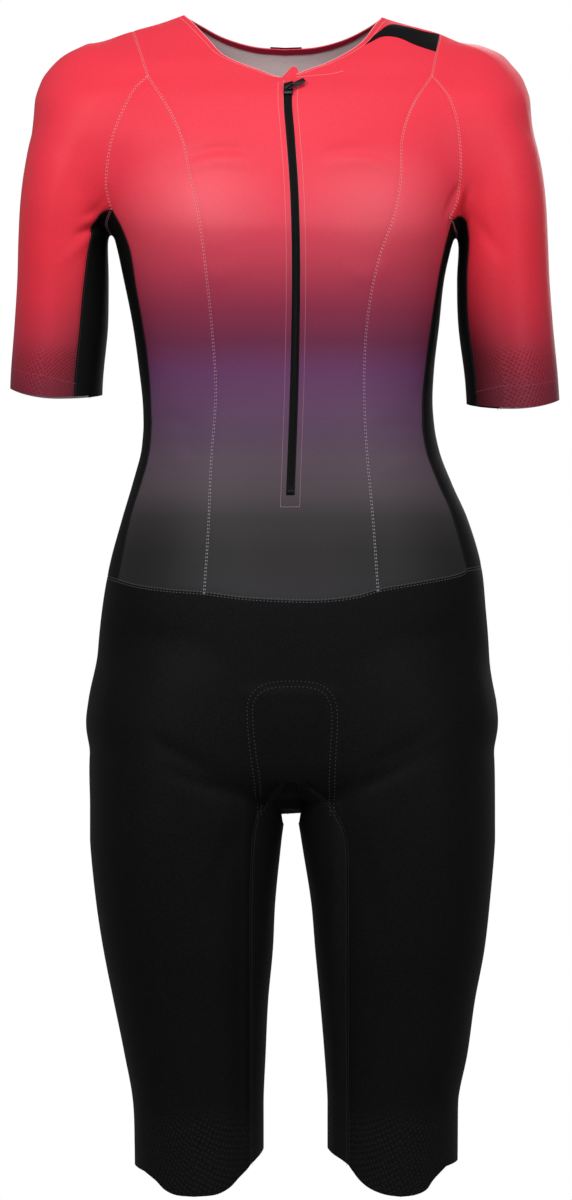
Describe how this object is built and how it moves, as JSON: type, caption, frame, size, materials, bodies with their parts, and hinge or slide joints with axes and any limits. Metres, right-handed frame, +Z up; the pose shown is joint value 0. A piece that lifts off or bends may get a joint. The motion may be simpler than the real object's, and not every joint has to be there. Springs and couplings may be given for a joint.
{
  "type": "triathlon suit",
  "caption": "Short-sleeved one-piece triathlon suit with a front zip, red top fading to black shorts with a seat pad, filled out with no wearer.",
  "frame": {"origin": "midway between the two shoulder seams, where the wearer's shoulders carry the suit", "axes": "+Z up, -Y out of the front (zip side), +X to the wearer's left"},
  "size_m": [0.4832, 0.2385, 1.0344],
  "materials": {
    "red_knit": "satin",
    "black_knit": "satin",
    "black_tape": "matte",
    "binding": "matte",
    "coil": "matte",
    "pad_foam": "matte",
    "slider": "gloss"
  },
  "bodies": {
    "suit": {"front_centre": "red_knit", "front_side_right": "red_knit", "front_side_left": "red_knit", "back_panel": "red_knit", "sleeve_right": "red_knit", "sleeve_left": "red_knit", "zip_guard": "red_knit", "side_panel_right": "black_knit", "side_panel_left": "black_knit", "sleeve_underarm_right": "black_knit", "sleeve_underarm_left": "black_knit", "shorts_front": "black_knit", "shorts_back_right": "black_knit", "shorts_back_left": "black_knit", "inner_leg_right": "black_knit", "inner_leg_left": "black_knit", "crotch_gusset": "black_knit", "zip_tape": "black_tape", "back_neck_tab": "black_tape", "shoulder_strip": "black_tape", "neck_binding": "binding", "zip_chain": "coil", "zip_stop": "slider", "zip_slider": "slider", "zip_slider_arch": "slider", "seat_pad": "pad_foam"},
    "zip_pull": {"zip_pull": "coil"}
  },
  "joints": [
    {"name": "zip_pull_swing", "type": "hinge", "parent": "suit", "child": "zip_pull", "pos_m": [0.00206, -0.07817, -0.05747], "axis": [0.5068, -0.4571, -0.7309], "range_deg": [0, 150]}
  ]
}
